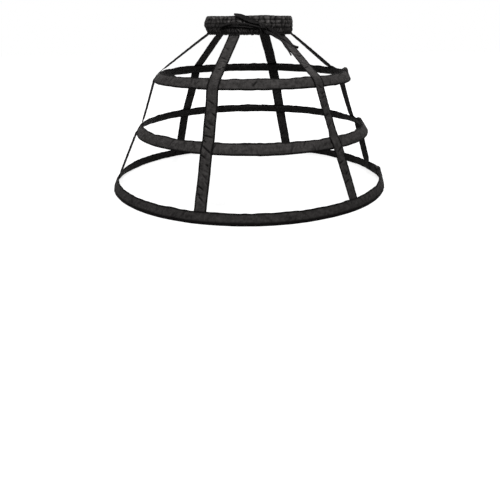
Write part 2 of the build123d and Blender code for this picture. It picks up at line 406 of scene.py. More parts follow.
def metal_material(name, dark, light, grain):
    """Rolled strip with a fine grain."""
    material, tree, shader = new_material(name)
    where = tree.nodes.new("ShaderNodeTexCoord")
    lines = noise(tree, stretched(tree, where.outputs["Object"], grain, grain), 1.0, 3.0)
    tree.links.new(two_tones(tree, lines, 0.3, 0.7, dark, light), shader.inputs["Base Color"])
    tree.links.new(maths(tree, "MULTIPLY_ADD", lines, 0.2, 0.3), shader.inputs["Roughness"])
    shader.inputs["Metallic"].default_value = 1.0
    return material


# Places across the cloth maps, in mm: a casing's upper fold, a tape's and a cord's width, the band's top fold
casing_half = 30.0
tape_across = 26.0
cord_across = 6.0
band_rise = 73.5

casing_cloth = cloth_material(
    "casing_cloth", dark=(0.026, 0.0244, 0.0238), light=(0.076, 0.0715, 0.0704), thread=0.5,
    weave_height=0.10 * mm, edges=[(0.0, 5.0), (casing_half, 5.0), (2 * casing_half, 5.0)])
# The lowest casing's cloth is the casing cloth painted darker, as shade where less light falls low down, with
# a wide painted shade along its lower edge.
shaded_hem_cloth = cloth_material(
    "shaded_hem_cloth", dark=(0.019, 0.0179, 0.0175), light=(0.055, 0.0517, 0.0509), thread=0.5,
    weave_height=0.10 * mm, edges=[(0.0, 10.0), (casing_half, 5.4), (2 * casing_half, 5.0)])
tape_cloth = cloth_material(
    "tape_cloth", dark=(0.027, 0.0254, 0.0249), light=(0.080, 0.0753, 0.0741), thread=0.5,
    weave_height=0.10 * mm, edges=[(0.0, 4.2), (tape_across, 4.2)])
# The band's light tone is a painted highlight, left in the puffs' middles; its folds map paints shade over
# the rest.
band_cloth = cloth_material(
    "band_cloth", dark=(0.054, 0.0507, 0.0500), light=(0.204, 0.192, 0.189), thread=0.6,
    weave_height=0.12 * mm, edges=[(0.0, 2.4), (band_rise, 2.4)])
cord_cloth = cloth_material(
    "cord_cloth", dark=(0.016, 0.015, 0.015), light=(0.040, 0.0375, 0.0375), thread=0.7,
    weave_height=0.15 * mm, edges=[(0.0, 0.8), (cord_across, 0.8)], folded=False)
sewing_thread = thread_material()
bone_metal = metal_material("bone_steel", dark=(0.55, 0.55, 0.54), light=(0.78, 0.78, 0.77), grain=700.0)
joiner_metal = metal_material("joiner_metal", dark=(0.42, 0.42, 0.43), light=(0.62, 0.62, 0.63), grain=900.0)


# Hoops: where their casings lie

# Where a tape pulls a casing over on its bone, top edge inwards: angle, spread and degrees
casing_tilts = {
    "top": [(-87.0, 24.0, 4.0), (108.0, 22.0, 4.0)],
    "middle": [(104.0, 18.0, 10.0), (-100.0, 22.0, 5.0)],
    "bottom": [(108.0, 20.0, -12.0), (-112.0, 30.0, -8.0)],
}


def hoop_frame(hoop, angle):
    """Middle of a casing at an angle, with the ways out of its face and up it."""
    lean = radians(hoop.lean)
    middle = np.array([hoop.right, hoop.back, hoop.height]) + outward(angle) * hoop.radius
    out = outward(angle) * cos(lean) + upwards * sin(lean)
    rise = -outward(angle) * sin(lean) + upwards * cos(lean)
    return middle, out, rise


def casing_depth(hoop, up):
    """Thickness of a casing at a height up its face."""
    share = np.abs(up) / (hoop.width / 2)
    flat_share = casing_flat / hoop.width
    thinner = np.clip((share - flat_share) / (1 - flat_share), 0, 1)
    return casing_middle + (casing_edge - casing_middle) * thinner


def tilted(hoop, angle, push, up):
    """Out and up of a point of the casing's section after the tilt there."""
    tilt = np.radians(near_angles(angle, casing_tilts[hoop.name]))
    return push * np.cos(tilt) - up * np.sin(tilt), up * np.cos(tilt) + push * np.sin(tilt)


def hoop_station(hoop, angle, side, up_share):
    """Where the middle of a tape lies on a casing: side 1 outside it, -1 inside."""
    up = up_share * hoop.width / 2
    hollow = tape_width ** 2 / (8 * hoop.radius)
    lift = side * (casing_depth(hoop, up) / 2 + tape_clearance + hollow + tape_thickness / 2)
    middle, out, rise = hoop_frame(hoop, np.array([angle]))
    lift, up = tilted(hoop, angle, lift, up)
    return (middle + out * lift + rise * up)[0]


# Drawcord: the bow's two loops, its two tails and the knots

# Routes from the knot, in mm to the right and up
upper_loop_route = [(-7.2, 4.9), (-20.0, 9.2), (-34.0, 14.3), (-48.5, 19.4), (-63.0, 22.6)]
lower_loop_route = [
    (-7.2, -2.6), (-21.0, -1.4), (-36.0, 1.6), (-52.0, 3.0), (-68.0, 2.4), (-84.0, 0.6), (-99.0, -2.4),
]
long_tail_route = [(8.2, -1.6), (23.0, -9.6), (43.0, -21.6), (60.0, -35.0), (75.5, -45.8)]
short_tail_route = [
    (1.8, -8.0), (6.5, -12.4), (14.0, -14.8), (22.5, -18.4), (35.0, -25.8), (46.2, -32.8), (53.6, -43.2),
    (58.8, -51.8), (63.4, -60.4),
]

# Where the tails leave the band's face for the tape below it
tape_edge = hoop_station(hoops[0], tape_angles["tape_front_right"][1], 1, 1) - waist_middle
tape_slope = atan2(hypot(tape_edge[0], tape_edge[1]) - hem_radius, below_hem - tape_edge[2])
cord_lift = tape_thickness / 2 + tape_width ** 2 / (8 * lay_radius) + tail_clearance
turn_up = below_hem + cord_lift * sin(tape_slope)
turn_up -= (lay_radius - hem_radius - cord_lift * cos(tape_slope)) / tan(tape_slope)

loop_wall = 0.9 * mm
strand_lift = 0.75 * mm
tip_lift = 0.55 * mm
knot_tuck_share = 0.55
loop_curl = 0.35 * mm
loop_ripple = 0.22 * mm

tail_wall = 1.0 * mm
tail_start_share = 0.6
tail_middle_share = 1.2
tail_fold = 0.30 * mm
tail_ripple = 0.2 * mm

end_knot_size = 7.0 * mm
end_knot_turn = 0.62 * mm
end_knot_lift = 1.5 * mm
end_knot_strand = 1.45 * mm

bow_knot_size = np.array([13.0, 11.0, 6.5]) * mm
bow_knot_map_mm = 40


def cord_points(route, thickness):
    """The route's points where the cord lies on the band or the tape."""
    points = []
    for right, up in route:
        up = up * mm
        radius = lay_radius + thickness / 2 + max(0, turn_up - knot_up - up) * tan(tape_slope)
        across = knot_right + right * mm
        points.append((waist_right + across, -(radius ** 2 - across ** 2) ** 0.5, knot_up + up))
    return points


def smooth_line(points):
    """Points read from a smooth curve that has the route's points as its controls."""
    curve = bpy.data.curves.new("cord_line", "CURVE")
    curve.dimensions = "3D"
    curve.resolution_u = 24
    spline = curve.splines.new("NURBS")
    spline.points.add(len(points) - 1)
    for control, point in zip(spline.points, points):
        control.co = (*point, 1)
    spline.order_u = 3
    spline.use_endpoint_u = True
    holder = bpy.data.objects.new("cord_line", curve)
    mesh = bpy.data.meshes.new_from_object(holder)
    line = np.array([vertex.co for vertex in mesh.vertices], float)
    bpy.data.meshes.remove(mesh)
    bpy.data.curves.remove(curve)
    return line


def cord_ways(line):
    """Along, across and out of a cord that lies flat, at each point of its line."""
    share = np.clip((turn_up - line[:, 2]) / cord_width + 0.5, 0, 1) * tape_slope
    level = unit((line - waist_middle) * (1, 1, 0))
    facing = level * np.cos(share)[:, None] + upwards * np.sin(share)[:, None]
    way = unit(np.gradient(line, measure_along(line), axis=0))
    across = unit(np.cross(facing, way))
    return way, across, unit(np.cross(way, across))


def make_loop(name, route, node, seed, fan, strand_share, rise):
    """A loop of the bow: the cord goes out along its line, folds at the tip and comes back on itself."""
    line = smooth_line(cord_points(route, 2 * cord_thickness))
    _, across, facing = cord_ways(line)
    length = measure_along(line)[-1]

    def place(share, side):
        out_and_back = 1 - np.abs(2 * share - 1)
        layer = np.where(share < 0.5, -1.0, 1.0)
        near_tip = blend(0.80, 1.0, out_and_back)
        lift = layer * (strand_lift + tip_lift * blend(0.55, 0.9, out_and_back)) * np.sqrt(1 - near_tip ** 6)
        tuck = knot_tuck_share + (strand_share - knot_tuck_share) * blend(0.0, 0.22, out_and_back)
        tuck = tuck + (1 - strand_share) * blend(0.70, 0.92, out_and_back)
        half = (side - 0.5) * cord_width * tuck * (1 - 0.3 * blend(0.90, 1.0, out_and_back) ** 2)
        curl = loop_curl * np.cos(pi * (side - 0.5)) * layer * (1 - near_tip)
        ripple = loop_ripple * waver(out_and_back, seed, 2, 9, 4) * np.sin(pi * side)
        spread = fan * layer * np.sin(pi * out_and_back ** 0.8) ** 0.7 * (1 - near_tip)
        spread = spread + rise * blend(0.45, 0.95, out_and_back)
        return (at_share(line, out_and_back)
                + at_share(across, out_and_back) * (half + spread)[:, None]
                + at_share(facing, out_and_back) * (lift + curl + ripple)[:, None])

    loop = cloth_grid(name, 150, 10, place, 2 * length, cord_width)
    thicken(loop, loop_wall, 0)
    finish_piece(loop, cord_cloth, "cord_cloth", node)


def make_tail(name, route, node, seed, twist, shift, end_share, end_lift):
    """A tail of the bow: one thickness of cord, turned on its edge towards its end."""
    line = smooth_line(cord_points(route, cord_thickness))
    way, across, facing = cord_ways(line)
    length = measure_along(line)[-1]

    def place(share, side):
        tuck = tail_start_share + (tail_middle_share - tail_start_share) * blend(0.0, 0.12, share)
        tuck = tuck - (tail_middle_share - end_share) * blend(0.70, 0.95, share)
        half = (side - 0.5) * cord_width * tuck
        turn = radians(twist) * blend(0.62, 0.86, share)
        offset = shift * blend(0.15, 0.40, share) * (1 - blend(0.60, 0.85, share))
        fold = tail_fold * np.cos(2 * pi * (side - 0.5)) + tail_ripple * waver(share, seed, 3, 14, 5)
        tied = end_lift * blend(0.88, 1.0, share)
        return (at_share(line, share)
                + at_share(across, share) * (half * np.cos(turn) + offset)[:, None]
                + at_share(facing, share) * (half * np.sin(turn) + fold + tied)[:, None]
                + at_share(way, share) * tied[:, None])

    tail = cloth_grid(name, 140, 10, place, length, cord_width)
    thicken(tail, tail_wall, 0)
    finish_piece(tail, cord_cloth, "cord_cloth", node)


def make_end_knot():
    """The cord's end tied in an overhand knot."""
    line = smooth_line(cord_points(long_tail_route, cord_thickness))
    way, across, facing = [ways[-1] for ways in cord_ways(line)]
    middle = line[-1] + way * (end_knot_size / 2 + cord_clearance)
    middle = middle + facing * (end_knot_size - cord_thickness) / 2
    bpy.ops.object.select_all(action="DESELECT")
    bpy.ops.curve.primitive_nurbs_path_add()
    knot = bpy.context.object
    knot.name = "drawcord_end_knot_tied"
    curve = knot.data
    curve.splines.clear()
    spline = curve.splines.new("NURBS")
    turns = np.linspace(0, 2 * pi, 24, endpoint=False)
    spline.points.add(len(turns) - 1)
    for control, turn in zip(spline.points, turns):
        right = (sin(turn) + 2 * sin(2 * turn)) * end_knot_turn
        up = (cos(turn) - 2 * cos(2 * turn)) * end_knot_turn
        lift = -sin(3 * turn) * end_knot_lift
        control.co = (*(middle + way * right + across * up + facing * lift), 1)
    spline.use_cyclic_u = True
    spline.order_u = 4
    curve.bevel_depth = end_knot_strand
    curve.bevel_resolution = 3
    curve.resolution_u = 6
    bpy.ops.object.convert(target="MESH")
    knot = bpy.context.object
    layers = knot.data.uv_layers
    layer = layers[0] if layers else layers.new()
    layer.name = "cloth"
    finish_piece(knot, cord_cloth, "cord_cloth", "drawcord_end_knot")
    return knot


def make_bow_knot():
    """The knot of the bow: a soft block with a strap of cord drawn round its middle."""
    bpy.ops.object.select_all(action="DESELECT")
    bpy.ops.mesh.primitive_cube_add(size=1)
    knot = bpy.context.object
    knot.name = "drawcord_knot_tied"
    in_edit_mode(knot, lambda: bpy.ops.mesh.subdivide(number_cuts=23))
    right, up, lift = np.array([vertex.co for vertex in knot.data.vertices]).T * 2
    rounded = np.stack([
        right * np.sqrt(1 - up ** 2 / 3 - lift ** 2 / 3 + up ** 2 * lift ** 2 / 5),
        up * np.sqrt(1 - right ** 2 / 3 - lift ** 2 / 3 + right ** 2 * lift ** 2 / 5),
        lift * np.sqrt(1 - up ** 2 / 3 - right ** 2 / 3 + up ** 2 * right ** 2 / 5),
    ], axis=1) / 0.92
    slant = rounded[:, 0] + 0.35 * rounded[:, 1]
    strap = 1 - blend(0.30, 0.44, np.abs(slant))
    waist = np.exp(-((np.abs(slant) - 0.46) / 0.10) ** 2)
    wrinkle = np.sin(9 * rounded[:, 1] + 3 * np.sign(slant)) * (1 - strap)
    grow = 0.90 + 0.10 * strap - 0.16 * waist + 0.035 * wrinkle
    grow += 0.02 * strap * np.sin(22 * slant)
    shaped = np.clip(rounded, -1, 1) * grow[:, None] * bow_knot_size / 2
    facing = outward(np.array(knot_angle))
    side = around(np.array(knot_angle))
    middle = waist_middle + upwards * knot_up + facing * (lay_radius + bow_knot_size[2] / 2)
    placed = middle + shaped[:, :1] * side + shaped[:, 1:2] * upwards + shaped[:, 2:] * facing
    knot.data.vertices.foreach_set("co", placed.ravel())
    in_edit_mode(knot, face_outwards)
    layer = knot.data.uv_layers[0]
    layer.name = "cloth"
    write_map(layer, read_map(layer) * bow_knot_map_mm)
    finish_piece(knot, cord_cloth, "cord_cloth", "drawcord_knot")


make_loop("drawcord_loop_upper_folded", upper_loop_route, "drawcord_loop_upper",
          seed=31, fan=2.3 * mm, strand_share=0.95, rise=-1.4 * mm)
make_loop("drawcord_loop_lower_folded", lower_loop_route, "drawcord_loop_lower",
          seed=32, fan=-3.0 * mm, strand_share=0.60, rise=-1.6 * mm)
end_knot = make_end_knot()
make_tail("drawcord_tail_long_flat", long_tail_route, "drawcord_tail_long", seed=33, twist=18,
          shift=-1.7 * mm, end_share=0.8, end_lift=2.4 * mm)
make_tail("drawcord_tail_short_flat", short_tail_route, "drawcord_tail_short", seed=34, twist=62,
          shift=1.0 * mm, end_share=0.55, end_lift=0.0)
make_bow_knot()


# Stitches

stitch_length = 2.3 * mm
stitch_pitch = 3.2 * mm
stitch_thick = 0.62 * mm


def stitch_shape():
    """One stitch: a slim bead, modelled once."""
    bpy.ops.object.select_all(action="DESELECT")
    bpy.ops.mesh.primitive_uv_sphere_add(segments=6, ring_count=3, radius=0.5)
    bead = bpy.context.object
    mesh = bead.data
    spots = np.array([vertex.co for vertex in mesh.vertices])
    faces = [tuple(face.vertices) for face in mesh.polygons]
    bpy.data.objects.remove(bead)
    bpy.data.meshes.remove(mesh)
    return spots[:, [2, 0, 1]] * (stitch_length, stitch_thick, stitch_thick), faces


stitch_spots, stitch_faces = stitch_shape()


def sew(name, rows, slot):
    """Stitches along rows of places, each row with its ways along and out of the cloth."""
    places, ways, facings = [np.concatenate(parts)[:, None] for parts in zip(*rows)]
    sides = np.cross(facings, ways)
    spots = (places + stitch_spots[:, :1] * ways + stitch_spots[:, 1:2] * sides
             + stitch_spots[:, 2:] * facings)
    count = len(stitch_spots)
    faces = [tuple(count * number + corner for corner in face)
             for number in range(len(places)) for face in stitch_faces]
    mesh = bpy.data.meshes.new(name)
    mesh.from_pydata(spots.reshape(-1, 3).tolist(), [], faces)
    piece = bpy.data.objects.new(name, mesh)
    bpy.context.collection.objects.link(piece)
    in_edit_mode(piece, face_outwards)
    finish_piece(piece, sewing_thread, slot)


# Hoop casings: folded sleeves over the bones, a little puckered, with an uneven upper edge

casing_wall = 0.5 * mm
casing_column = 2.4 * mm
casing_seams = (0.80, -0.80)
casing_sway = 0.5 * mm
longest_wave = 130 * mm
shortest_wave = 22 * mm
longest_pucker = 34 * mm
shortest_pucker = 8.5 * mm
fold_spacing = 24 * mm
fold_reach = 8 * mm
fold_depth = 0.9 * mm
casing_cloths = {"top": casing_cloth, "middle": casing_cloth, "bottom": shaded_hem_cloth}

# How far a casing's cloth spreads past its folded edges: upper, lower
casing_spread = {"top": (1.5 * mm, 1.2 * mm), "middle": (1.0 * mm, 1.4 * mm), "bottom": (0.8 * mm, 0.0)}

# Where a casing has slipped up or down its bone: angle, spread and how far
casing_slips = {
    "top": [(-84.0, 28.0, -1.6 * mm), (104.0, 26.0, -1.8 * mm)],
    "middle": [(106.0, 22.0, -1.8 * mm), (-112.0, 24.0, -1.5 * mm)],
    "bottom": [(108.0, 20.0, 1.4 * mm), (-112.0, 30.0, 1.0 * mm)],
}

# Where a casing's outer face stands off: angle, spread and how far
casing_slack = {
    "top": [(92.0, 8.0, 0.6 * mm)],
    "middle": [(91.0, 6.0, 1.2 * mm)],
    "bottom": [(94.0, 9.0, 7.0 * mm)],
}

# Folds placed one by one on the top hoop: angle, height share, slant and depth in mm
top_hoop_folds = [(1.0, 0.1, 62.0, 0.5), (4.6, 0.1, -58.0, 0.6), (-62.0, 0.0, 80.0, 0.7)]


def casing_folds(hoop, angle, up):
    """Short folds that slant across a casing's face, and those listed for the top hoop."""
    draw = np.random.RandomState(hoop.seed + 200)
    round_length = 2 * pi * hoop.radius
    total = 0 * up
    folds = [(draw.uniform(-180, 180), draw.uniform(-0.5, 0.5), draw.uniform(25, 75) * draw.choice([-1, 1]),
              draw.uniform(0.3, 0.8)) for _ in range(int(round_length / fold_spacing))]
    if hoop.name == "top":
        folds += top_hoop_folds
    for middle, up_share, slant, depth in folds:
        apart = ((angle - middle + 180) % 360 - 180) / 360 * round_length
        offset = up_share * hoop.width / 2
        step = np.array([cos(radians(slant)), sin(radians(slant))]) * fold_reach
        total = total + crease(apart, up, (-step + (0, offset), step + (0, offset)), depth * mm)
    return total


def casing_face(hoop, turns, up_share, side):
    """Point on a casing: side 1 on its outer face, -1 on its inner face, with the way out of the face."""
    angle = hoop.lap_angle + 360 * turns
    middle, out, rise = hoop_frame(hoop, angle)
    half = hoop.width / 2
    share_up = (up_share + 1) / 2
    round_length = 2 * pi * hoop.radius
    # Height, with its uneven edges
    upper, lower = casing_spread[hoop.name]
    upper_wave = waver(turns, hoop.seed, round_length / longest_wave, round_length / shortest_wave, 9)
    lower_wave = 0.3 * waver(turns, hoop.seed + 40, 9, 60, 6)
    up = up_share * half + np.where(up_share > 0, upper, lower) * up_share
    up = up + hoop.edge_wave * upper_wave * share_up ** 2
    up = up + hoop.edge_wave * lower_wave * (1 - share_up) ** 2
    up = up + near_angles(angle, casing_slips[hoop.name])
    # Thickness, with its slack
    rounded = np.sqrt(np.clip(1 - up_share ** 14, 0, 1))
    depth = casing_depth(hoop, up_share * half) * rounded
    slack = near_angles(angle, casing_slack[hoop.name]) * rounded * (side > 0)
    # Puckers in patches, and folds, which go less far in over the bone
    patches = 0.45 + 0.55 * blend(-0.4, 0.9, waver(turns, hoop.seed + 80, 7, 23, 5))
    slant = up / round_length * 1.6 * waver(turns, hoop.seed + 100, 9, 31, 6)
    pucker = waver(turns + slant, hoop.seed + 120, round_length / longest_pucker,
                   round_length / shortest_pucker, 8, fade=0.35)
    loose = 0.24 + 0.34 * np.abs(up_share) ** 1.5
    sway = casing_sway * waver(turns, hoop.seed + 160, 12, 50, 5) * up_share
    relief = mm * loose * patches * pucker * (1 - 0.4 * (side < 0))
    relief = relief + casing_folds(hoop, angle, up) * rounded * side
    over_bone = 1 - blend(0.30, 0.62, np.abs(up_share))
    inwards = np.minimum(relief * side, 0)
    relief = relief - side * inwards * 0.7 * over_bone
    push, up = tilted(hoop, angle, side * depth / 2 + slack + relief + sway, up)
    return middle + out * push[:, None] + rise * up[:, None], out


def make_casing(hoop):
    round_length = 2 * pi * hoop.radius

    def place(turns, section):
        up_share = -np.cos(2 * pi * section)
        side = np.where(section < 0.5, 1.0, -1.0)
        return casing_face(hoop, turns, up_share, side)[0]

    def across_share(section):
        """Share of the cloth's width, from the foot up the outer face and down the inner one."""
        outer = section < 0.5
        return np.where(outer, 1, 3) / 4 - np.where(outer, 1, -1) * np.cos(2 * pi * section) / 4

    # Painted shade in the casing's folds, darker where a fold goes deeper.
    def unshaded_share(along, across):
        angle = hoop.lap_angle + 360 * along * mm / round_length
        up = (1 - np.abs(across - casing_half) / casing_half * 2) * hoop.width / 2
        return 1 + 0.8 * casing_folds(hoop, angle, up) / fold_depth

    casing = cloth_grid(f"hoop_casing_{hoop.name}_sewn", int(round_length / casing_column), 28, place,
                        round_length, 2 * casing_half * mm, across_share)
    map_fold_shade(casing, unshaded_share)
    in_edit_mode(casing, face_outwards)
    thicken(casing, casing_wall, -1)
    finish_piece(casing, casing_cloths[hoop.name], "casing_cloth", f"hoop_casing_{hoop.name}")

    rows = []
    count = int(round_length / stitch_pitch)
    turns = np.arange(count) / count
    for up_share in casing_seams:
        for side in (1.0, -1.0):
            spots, out = casing_face(hoop, turns, 0 * turns + up_share, 0 * turns + side)
            ahead, _ = casing_face(hoop, turns + 0.5 / count, 0 * turns + up_share, 0 * turns + side)
            rows.append((spots, unit(ahead - spots), out * side))
    sew(f"hoop_stitches_{hoop.name}", rows, "casing_cloth")


# Each lap's length, how far it stands off, how far round it has slipped, and its spare cloth below
laps = {
    "top": (30.0 * mm, 2.6 * mm, -11.0, 1.0),
    "middle": (22.0 * mm, 1.0 * mm, 0.0, 1.0),
    "bottom": (22.0 * mm, 1.2 * mm, 0.0, 0.3),
}
lap_wall = 0.6 * mm
lap_lift = 0.75 * mm
lap_crumple = 0.5 * mm
lap_spare = 6 * mm


def make_lap(hoop):
    """The end of the casing turned over its other end and sewn down, a little askew."""
    length, puff, slip, below = laps[hoop.name]
    turn_share = length / (2 * pi * hoop.radius)

    def place(along, section):
        turn = 2 * pi * (section * 0.94 + 0.03)
        up_share = -np.cos(turn) * 1.06
        side = np.where(np.sin(turn) > 0, 1.0, -1.0)
        skew = 0.12 * up_share
        turns = (along - 0.5 + skew) * turn_share + slip / 360
        spots, out = casing_face(hoop, turns, np.clip(up_share, -1, 1), side)
        _, _, rise = hoop_frame(hoop, hoop.lap_angle + 360 * turns)
        crumple = 0.35 * np.sin(5 * pi * along + 4 * section) + 0.3 * np.sin(11 * section + 2)
        bunch = np.sin(pi * np.clip(along, 0, 1)) ** 0.6 * blend(-0.30, 0.35, np.sin(turn))
        bunch = bunch * (0.25 + 0.60 * blend(-0.8, 0.2, up_share) + 2.6 * blend(-0.2, 0.8, up_share))
        lift = (lap_lift + crumple * lap_crumple) * side + puff * bunch * (0.7 + 0.5 * crumple)
        spare = (lap_spare + 3 * puff * np.sin(pi * along) ** 2) * np.where(up_share > 0, 1, -below)
        spare = spare * np.clip(np.abs(up_share) - 0.9, 0, 1)
        return spots + out * lift[:, None] + rise * spare[:, None]

    lap = cloth_grid(f"hoop_lap_{hoop.name}", 24, 40, place, length, 2 * hoop.width)
    # Painted shade in soft waves over the lap's bunched cloth.
    map_fold_shade(lap, lambda along, across: 0.75 + 0.25 * np.sin(0.9 * along + 0.25 * across))
    thicken(lap, lap_wall, 0)
    finish_piece(lap, casing_cloths[hoop.name], "casing_cloth")


for hoop in hoops:
    make_casing(hoop)
    make_lap(hoop)


# Tapes: flat double cloth with sewn edges, from the hem over two hoops to the inside of the lowest

TapeLine = namedtuple("TapeLine", "length middle across facing marks")

# Marks along a tape: under the band, at both edges of the top and middle hoops, and on the lowest hoop
under_band, top_upper, top_lower, middle_upper, middle_lower, lowest_upper = 1, 2, 5, 6, 9, 10
free_runs = ((under_band, top_upper), (top_lower, middle_upper), (middle_lower, lowest_upper))

tape_wall = 0.8 * mm
tape_column = 1.5 * mm
tape_line_step = 0.8 * mm
tape_line_window = 13
tape_seams = (-0.86, 0.86)
seam_inset = 2.5 * mm
thread_lift = 0.5 * mm
thread_step = 1.0 * mm
seam_start = 6 * mm
seam_end = 4 * mm
held_reach = 14 * mm
held_end_reach = 10 * mm
tape_hem_lift = 0.20 * mm
tape_hollow = 0.6 * mm
tape_ripple = 0.18 * mm
tape_wander = 0.5 * mm
tape_widening = 70 * mm
tape_crease_count = 14

# How far a tape turns on itself between the band and the hoops, in degrees, and leans across each hoop
tape_twists = {
    "tape_front_right": (0.0, -9.0, 0.0), "tape_right": (-3.0, 0.0, -11.0), "tape_left": (7.5, 6.5, 8.0),
}
tape_slants = {"tape_right": (3.4, 0.5, 0.0)}

# Where a tape leaves the band: how far out, and how far above the band's foot
tape_starts = {"tape_right": (4.0 * mm, 1.5 * mm), "tape_left": (0.3 * mm, 0.5 * mm)}
tape_usual_start = (0, -2.4 * mm)

# Creases across the two front tapes, in mm: along and across at one end, then at the other, and how deep
tape_creases = {
    "tape_front_left": [
        (258.9, -11.5, 266.9, 1.2, 0.9), (279.8, -12.0, 284.6, 8.5, 0.9), (287.8, -12.0, 295.0, -4.8, 0.7),
        (303.0, -10.0, 319.0, 9.5, 1.0), (322.2, -12.0, 330.3, 0.0, 0.9), (343.0, 1.0, 346.5, 7.0, 0.8),
        (388.0, -12.0, 396.8, 1.2, 0.9), (405.5, -10.0, 409.0, -3.0, 0.8), (86.0, -8.0, 95.0, 7.0, 0.6),
        (118.0, 10.0, 131.0, -6.0, 0.6), (206.0, -9.0, 214.0, 4.0, 0.7), (232.0, 1.0, 240.0, 11.0, 0.7),
    ],
    "tape_front_right": [
        (208.5, -1.0, 205.5, 7.5, 0.9), (217.0, -3.0, 213.0, 6.0, 0.9), (256.0, -9.0, 252.0, 3.0, 0.9),
        (363.9, -10.0, 361.0, 4.0, 0.9), (409.0, -10.0, 405.5, 4.0, 0.9), (392.0, -1.0, 387.0, 8.0, 0.9),
        (96.0, -4.0, 88.0, 10.0, 0.6), (138.0, -11.0, 129.0, 5.0, 0.7), (236.0, 0.0, 229.0, 11.0, 0.7),
        (281.0, -11.0, 273.0, 2.0, 0.7), (338.0, -3.0, 331.0, 10.0, 0.7),
    ],
}


def tape_line(name, angles):
    """The line down a tape's middle, with the ways across it and out of its face."""
    waist_angle, *hoop_angles = angles
    hem = waist_middle + outward(np.array(waist_angle)) * hem_radius
    pull, rise = tape_starts.get(name, tape_usual_start)
    start = hem + outward(np.array(waist_angle)) * pull
    points = [hem + (0, 0, hem_top), start + (0, 0, band_bottom + rise)]
    turns = [waist_angle, waist_angle]
    slants = tape_slants.get(name, (0, 0, 0))
    for hoop, angle, side, end, slant in zip(hoops, hoop_angles, (1, 1, -1), (1, 1, tape_end_share), slants):
        flat_share = casing_flat / hoop.width
        for up_share in (1, flat_share, -flat_share, -end):
            points.append(hoop_station(hoop, angle + slant * up_share, side, up_share))
            turns.append(angle)
    points = np.array(points)
    measure = measure_along(points)
    length = measure[-1]
    steps = np.linspace(0, length, int(length / tape_line_step))
    middle = np.stack([np.interp(steps, measure, points[:, k]) for k in range(3)], axis=-1)
    angle = np.interp(steps, measure, turns)
    window = np.hanning(tape_line_window) / np.hanning(tape_line_window).sum()
    for k in range(3):
        ends = np.pad(middle[:, k], tape_line_window // 2, mode="reflect", reflect_type="odd")
        middle[:, k] = np.convolve(ends, window, mode="valid")
    way = unit(np.gradient(middle, axis=0))
    across = around(angle)
    across = unit(across - way * (across * way).sum(axis=1, keepdims=True))
    facing = np.cross(across, way)
    facing *= np.sign((facing * outward(angle)).sum(axis=1, keepdims=True))
    twist = 0 * steps
    for (first, last), turn in zip(free_runs, tape_twists.get(name, (0, 0, 0))):
        free = (steps - measure[first]) / (measure[last] - measure[first])
        twist = twist + radians(turn) * blend(-0.06, 0.03, free) * (1 - blend(0.85, 1, free))
    cosine, sine = np.cos(twist)[:, None], np.sin(twist)[:, None]
    across, facing = across * cosine + facing * sine, facing * cosine - across * sine
    return TapeLine(length, middle, across, facing, measure)


def tape_folds(name, seed, tape, along, across):
    """The creases of a tape: those listed for the two at the front, and short slanting ones."""
    draw = np.random.RandomState(seed)
    total = 0 * along
    for first_along, first_across, last_along, last_across, depth in tape_creases.get(name, ()):
        ends = (first_along * mm, first_across * mm), (last_along * mm, last_across * mm)
        total = total + crease(along, across, ends, depth * mm)
    for _ in range(tape_crease_count):
        spot = np.array([draw.uniform(0.12, 0.93) * tape.length, draw.uniform(-0.3, 0.3) * tape_width])
        slant = radians(draw.uniform(18, 52))
        step = np.array([sin(slant), cos(slant)]) * draw.uniform(5, 11) * mm
        total = total + crease(along, across, (spot - step, spot + step), draw.uniform(0.2, 0.5) * mm)
    return total


def tape_relief(name, seed, tape, along, across):
    """How far the cloth stands off its flat: edges, a slack hollow and creases."""
    draw = np.random.RandomState(seed + 1)
    share = along / tape.length
    from_middle = np.abs(across) / (tape_width / 2)
    held = np.zeros_like(along)
    for upper, lower in ((top_upper, top_lower), (middle_upper, middle_lower)):
        reached = blend(tape.marks[upper] - held_reach, tape.marks[upper], along)
        left = blend(tape.marks[lower], tape.marks[lower] + held_reach, along)
        held = np.maximum(held, reached * (1 - left))
    held = np.maximum(held, blend(tape.marks[lowest_upper] - held_end_reach, tape.marks[lowest_upper], along))
    held = np.maximum(held, 1 - blend(tape.marks[under_band], tape.marks[under_band] + held_end_reach, along))
    lift = tape_hem_lift * blend(0.80, 0.90, from_middle)
    lift = lift - tape_hollow * (1 - held) * from_middle ** 2 * np.sin(2 * pi * (1.3 * share + draw.rand()))
    lift = lift + tape_ripple * waver(share, seed + 7, 20, 70, 7) * (0.4 + 0.6 * from_middle)
    return lift + tape_folds(name, seed, tape, along, across) * (1 - 0.5 * held)


def tape_points(name, seed, tape, along, across, lift=0):
    share = along / tape.length
    wander = tape_wander * waver(share, seed + 3, 3, 12, 5)
    wider = 1.07 + 0.03 * blend(tape.marks[top_upper], tape.marks[top_upper] + tape_widening, along)
    spread = across * wider + wander * np.sin(pi * share)
    height = tape_relief(name, seed, tape, along, across) + lift
    return (at_share(tape.middle, share) + at_share(tape.across, share) * spread[:, None]
            + at_share(tape.facing, share) * height[:, None])


